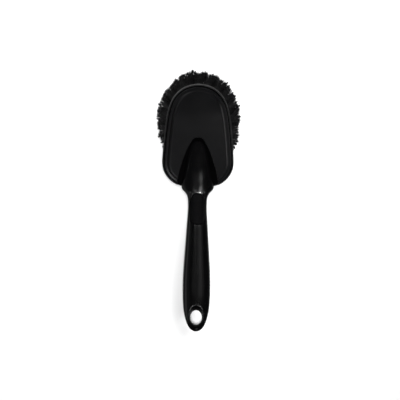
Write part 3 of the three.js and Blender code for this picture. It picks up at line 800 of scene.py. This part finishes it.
    # the cut ends are flagged: each filament splits into two finer ones
    fork = main[:, -1]
    heading = end - fork
    parts = []
    for _ in range(2):
        e = end.copy()
        e[:, :2] += rng.normal(0, 0.42, (n, 2))
        e[:, 0] = np.clip(e[:, 0], -45.5, 45.5)
        e[:, 2] = np.maximum(e[:, 2] + rng.uniform(-0.3, 1.3, n), 0.05)
        parts.append(np.stack([fork - heading * 0.03, fork + (e - fork) * 0.5 + heading * 0.04, e], axis=1))
    fine = np.concatenate(parts)
    fine_rad = rng.uniform(0.11, 0.145, n * 2)[:, None] * np.array([1.0, 0.85, 0.45])[None]
    v1, q1, t1 = tubes(main, rad, 3, rng.uniform(0, 6.28, n))
    v2, q2, t2 = tubes(fine, fine_rad, 3, rng.uniform(0, 6.28, n * 2))
    v = np.concatenate([v1, v2])
    v[:, 2] = np.maximum(v[:, 2], 0.0)
    shade2 = np.tile(shade, 2)
    ob = fast_mesh(f"tuft_{index:02d}_fibres", v, np.concatenate([q1, q2 + len(v1)]),
                   np.concatenate([t1, t2 + len(v1)]),
                   np.concatenate([np.repeat(shade, 12), np.repeat(shade2, 6)]),
                   np.concatenate([shade, shade, shade2, shade2]))
    for m in FIBRES:
        ob.data.materials.append(m)
    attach(ob, "root")
    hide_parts(f"tuft_{index:02d}")
    return ob


COVER, BLOCK, HANDLE, PAD = head_cover(), bristle_block(), handle(), thumb_pad()
TUFTS = [tuft(i + 1, root, tip, a, ring_no) for i, (root, tip, a, ring_no) in enumerate(tuft_axes())]
HEAD, GRIP_PIECES, ALL = [COVER, BLOCK], [HANDLE, PAD], [COVER, BLOCK, HANDLE, PAD, *TUFTS]


# -------------------------------------------------------------- stage, light
def floor():
    me = bpy.data.meshes.new("floor")
    s = 30.0
    me.from_pydata([(-s, -s, 0), (s, -s, 0), (s, s, 0), (-s, s, 0)], [], [(0, 1, 2, 3)])
    ob = bpy.data.objects.new("floor", me)
    bpy.context.scene.collection.objects.link(ob)
    mat, nt, p = principled("floor_pale")
    p.inputs["Base Color"].default_value = (0.9, 0.9, 0.9, 1)
    p.inputs["Roughness"].default_value = 0.9
    p.inputs["Specular IOR Level"].default_value = 0.1
    me.materials.append(mat)
    ob.visible_glossy = False
    return ob


floor()


def aim(ob, direction, distance, target, glossy, diffuse):
    d = Vector(direction).normalized()
    ob.location = Vector(target) + d * distance
    ob.rotation_mode = "QUATERNION"
    # a lamp's own Y axis keeps as close to the brush's length as it can
    z = d
    y = (Vector((0, 1, 0)) - z * z.y).normalized()
    ob.rotation_quaternion = Matrix((y.cross(z), y, z)).transposed().to_quaternion()
    ob.visible_glossy = glossy
    ob.visible_diffuse = diffuse
    ob.visible_camera = False
    bpy.context.scene.collection.objects.link(ob)
    return ob


def area(name, direction, distance, size, power, target=(0, 0, 0.03), size_y=None, glossy=True, diffuse=True):
    li = bpy.data.lights.new(name, "AREA")
    li.energy = power
    li.size = size
    if size_y:
        li.shape = "RECTANGLE"
        li.size_y = size_y
    return aim(bpy.data.objects.new(name, li), direction, distance, target, glossy, diffuse)


def spot(name, direction, distance, power, radius, target, cone, blend, glossy=True, diffuse=True):
    li = bpy.data.lights.new(name, "SPOT")
    li.energy = power
    li.shadow_soft_size = radius
    li.spot_size = math.radians(cone)
    li.spot_blend = blend
    return aim(bpy.data.objects.new(name, li), direction, distance, target, glossy, diffuse)


# floor lighting: a sun along the camera's direction, whose shadow falls under the brush, a
# softer one at the upper right, and a spot that lifts the head and neck out of its shadow
AXIS = (0, math.sin(math.radians(9.5)), math.cos(math.radians(9.5)))


def sun(name, direction, angle, floor_level):
    li = bpy.data.lights.new(name, "SUN")
    d = Vector(direction).normalized()
    li.energy = floor_level * math.pi / (0.9 * d.z)
    li.angle = math.radians(angle)
    return aim(bpy.data.objects.new(name, li), direction, 3.0, (0, 0, 0), False, True)


sun("fill", AXIS, 5.0, 0.44)
sun("key", (0.32, 0.44, 0.84), 26.0, 0.52)
spot("head_fill", AXIS, 2.4, 200.0, 0.20, target=(-0.015, 0.040, 0.0), cone=9.2, blend=0.35, glossy=False)


# highlights: softboxes that only show as reflections, each flagged off the pieces it isn't for
def flagged(ob, pieces):
    group = bpy.data.collections.new(ob.name + "_falls_on")
    for piece in pieces:
        group.objects.link(piece)
    ob.light_linking.receiver_collection = group
    return ob


def glow(name, pieces, across, forward, width, length, level, distance=1.5, at=(0, 0, 30)):
    """A softbox overhead: its angles from straight up to the right and to the front, its spans and its brightness."""
    w = 2 * distance * math.tan(math.radians(width / 2))
    h = 2 * distance * math.tan(math.radians(length / 2))
    d = (math.tan(math.radians(across)), math.tan(math.radians(forward)), 1.0)
    target = (at[0] * MM, (at[1] + SHIFT) * MM, at[2] * MM)
    return flagged(area(name, d, distance, w, level * math.pi * w * h, target, size_y=h, diffuse=False), pieces)


def card(name, pieces, direction, width, height, level, distance=1.5):
    """A softbox low beside the brush, by its spans in degrees and its brightness."""
    w = 2 * distance * math.tan(math.radians(width / 2))
    h = 2 * distance * math.tan(math.radians(height / 2))
    d = Vector(direction).normalized()
    ob = area(name, direction, distance, w, level * math.pi * w * h, size_y=h, diffuse=False)
    x = Vector((-d.y, d.x, 0)).normalized()
    ob.rotation_quaternion = Matrix((x, d.cross(x), d)).transposed().to_quaternion()
    return flagged(ob, pieces)


MIDDLE = (0, -SHIFT, 30)         # the middle of the whole brush
NECK = (0, 22 - SHIFT, 42)
glow("crown_right", GRIP_PIECES, 9.5, -4.8, 9, 17, 4.7, distance=0.45, at=NECK)
glow("crown_left", GRIP_PIECES, -7.5, -7.8, 5, 13, 8.0, distance=0.45, at=NECK)
glow("grip_core", GRIP_PIECES, 16.0, -26.0, 18, 28, 0.22, at=MIDDLE)
glow("grip_wide", GRIP_PIECES, 12.0, -26.0, 52, 28, 0.13, at=MIDDLE)
glow("lamp_right", [HANDLE], 11.0, -60.0, 6, 13, 16.0, at=MIDDLE)
glow("lamp_left", [HANDLE], -8.0, -60.0, 5, 9, 1.0, at=MIDDLE)
# gridded, so that they reach the ledge in front of the pad and not the hanging hole
glow("ledge_right", [HANDLE], 13.0, -60.0, 5, 13, 4.9, distance=0.15, at=(3, 12, 44)).data.spread = math.radians(50)
glow("ledge_left", [HANDLE], -10.0, -58.0, 4, 10, 0.25, distance=0.15, at=(-3, 12, 44)).data.spread = math.radians(50)
glow("panel_all", [COVER], 0.0, -7.0, 46, 36, 0.30, at=(0, 70, 53))
glow("panel_right", [COVER], 3.0, -9.5, 9, 12, 3.5, distance=0.25, at=(40, 114, 53))
glow("border_right", [COVER], 42.0, -3.0, 28, 30, 1.0)
glow("border_left", [COVER], -38.0, -5.0, 30, 30, 0.18)
glow("lip_front", [BLOCK], 0.0, 30.0, 60, 48, 0.95)
glow("lip_left", [BLOCK], -30.0, -30.0, 13, 13, 14.0)
glow("step_left", [COVER], -24.5, -26.0, 9, 9, 34.0)
card("step_right", [COVER], (0.95, 0.07, -0.25), 36, 60, 1.5)
card("pad_edge", [PAD], (0.68, -0.50, -0.40), 40, 60, 7.0)
card("front", HEAD, (0.10, 0.93, 0.36), 30, 17, 2.2)
card("left", ALL, (-0.92, -0.50, 0.19), 50, 20, 0.44)
card("front_left", GRIP_PIECES, (-0.95, 0.16, 0.10), 26, 40, 0.11)
card("left_upper", GRIP_PIECES, (-0.78, -0.40, 0.50), 50, 28, 0.07)
card("grip_near", [HANDLE], (0.60, -0.78, -0.12), 22, 40, 0.30)
card("far_left", HEAD, (-0.64, 0.64, 0.42), 56, 34, 1.8)
card("far_left_grip", GRIP_PIECES, (-0.64, 0.64, 0.42), 50, 30, 0.5)
card("near_right", HEAD, (0.68, -0.68, 0.26), 40, 22, 1.6)
card("walls_near", [BLOCK], (0.62, -0.68, -0.36), 60, 40, 1.3)
card("walls_far", [BLOCK], (-0.68, 0.68, -0.26), 60, 36, 1.3)
card("walls_right", [BLOCK], (1.0, 0.0, -0.04), 34, 24, 1.0)
card("walls_rear", [BLOCK, HANDLE], (0.0, -1.0, -0.05), 30, 20, 0.5)
for i, azimuth in enumerate((-130, -60, 5, 90, 170)):
    turn = math.radians(azimuth)
    card(f"strands_{i}", TUFTS, (math.cos(turn), math.sin(turn), 0.84), 50, 30, 6.0)

world = bpy.data.worlds.new("studio")
bpy.context.scene.world = world
world.use_nodes = True
wn = world.node_tree
bg = wn.nodes["Background"]
wc = wn.nodes.new("ShaderNodeTexCoord")
sep = wn.nodes.new("ShaderNodeSeparateXYZ")
wn.links.new(wc.outputs["Generated"], sep.inputs[0])
upward = ramp(wn, sep.outputs["Z"], [(0.0, (0.024, 0.024, 0.024)), (0.7, (0.018, 0.018, 0.018)), (1.0, (0.02, 0.02, 0.02))])
# the floor seen in the brush's sides, a dim room beyond both ends, and a low pale patch at the right
downward = wn.nodes.new("ShaderNodeMath")
downward.operation = "MULTIPLY"
wn.links.new(sep.outputs["Z"], downward.inputs[0])
downward.inputs[1].default_value = -1.0
below = ramp(wn, downward.outputs[0], [(0.42, (0, 0, 0)), (0.62, (0.30, 0.30, 0.30)), (0.90, (0.6, 0.6, 0.6))])
ends = wn.nodes.new("ShaderNodeMath")
ends.operation = "ABSOLUTE"
wn.links.new(sep.outputs["Y"], ends.inputs[0])
beyond = ramp(wn, ends.outputs[0], [(0.62, (0, 0, 0)), (0.92, (0.12, 0.12, 0.12))])
low = (math.radians(-20), math.radians(7))
dot = wn.nodes.new("ShaderNodeVectorMath")
dot.operation = "DOT_PRODUCT"
wn.links.new(wc.outputs["Generated"], dot.inputs[0])
dot.inputs[1].default_value = (math.cos(low[0]) * math.cos(low[1]), math.cos(low[0]) * math.sin(low[1]), math.sin(low[0]))
patch = ramp(wn, dot.outputs["Value"], [(0.955, (0, 0, 0)), (0.988, (0.40, 0.40, 0.40))])


def add(first, second):
    m = wn.nodes.new("ShaderNodeMix")
    m.data_type = "RGBA"
    m.blend_type = "ADD"
    m.inputs["Factor"].default_value = 1.0
    wn.links.new(first, m.inputs["A"])
    wn.links.new(second, m.inputs["B"])
    return m.outputs["Result"]


both = add(add(upward.outputs["Color"], below.outputs["Color"]), add(beyond.outputs["Color"], patch.outputs["Color"]))
path = wn.nodes.new("ShaderNodeLightPath")
mix = wn.nodes.new("ShaderNodeMix")
mix.data_type = "RGBA"
wn.links.new(path.outputs["Is Camera Ray"], mix.inputs["Factor"])
wn.links.new(both, mix.inputs["A"])
mix.inputs["B"].default_value = (1, 1, 1, 1)
wn.links.new(mix.outputs["Result"], bg.inputs["Color"])
bg.inputs["Strength"].default_value = 1.0

# ------------------------------------------------------------------- camera
TILT = math.radians(9.5)
DIST = 2.0
K = 1.057 * MM                   # metres per picture point at the head's rim
AXIS_X, AXIS_Y = 197.4, 203.28
ROLL = math.radians(0.70)
n_dir = Vector((0, math.sin(TILT), math.cos(TILT)))
u_dir = Vector((0, math.cos(TILT), -math.sin(TILT)))
r_dir = Vector((1, 0, 0))
cam_data = bpy.data.cameras.new("camera")
cam = bpy.data.objects.new("camera", cam_data)
bpy.context.scene.collection.objects.link(cam)
cam_data.sensor_width = 36.0
cam_data.lens = 36.0 * DIST / (400 * K)
rot = Matrix((r_dir, u_dir, n_dir)).transposed()
roll = Matrix.Rotation(ROLL, 3, "Z")
cam.rotation_mode = "QUATERNION"
cam.rotation_quaternion = (rot @ roll).to_quaternion()
right_v, up_v = (rot @ roll) @ Vector((1, 0, 0)), (rot @ roll) @ Vector((0, 1, 0))
cam.location = (Vector((0, SHIFT * MM, 0.045)) + n_dir * DIST
                + right_v * ((200 - AXIS_X) * K) + up_v * ((AXIS_Y - 200) * K))
cam_data.clip_start, cam_data.clip_end = 0.05, 100
bpy.context.scene.camera = cam

bpy.context.scene.view_settings.view_transform = "Standard"
bpy.context.scene.view_settings.look = "None"
bpy.context.scene.view_settings.exposure = 0.0
bpy.context.scene.view_settings.gamma = 1.0
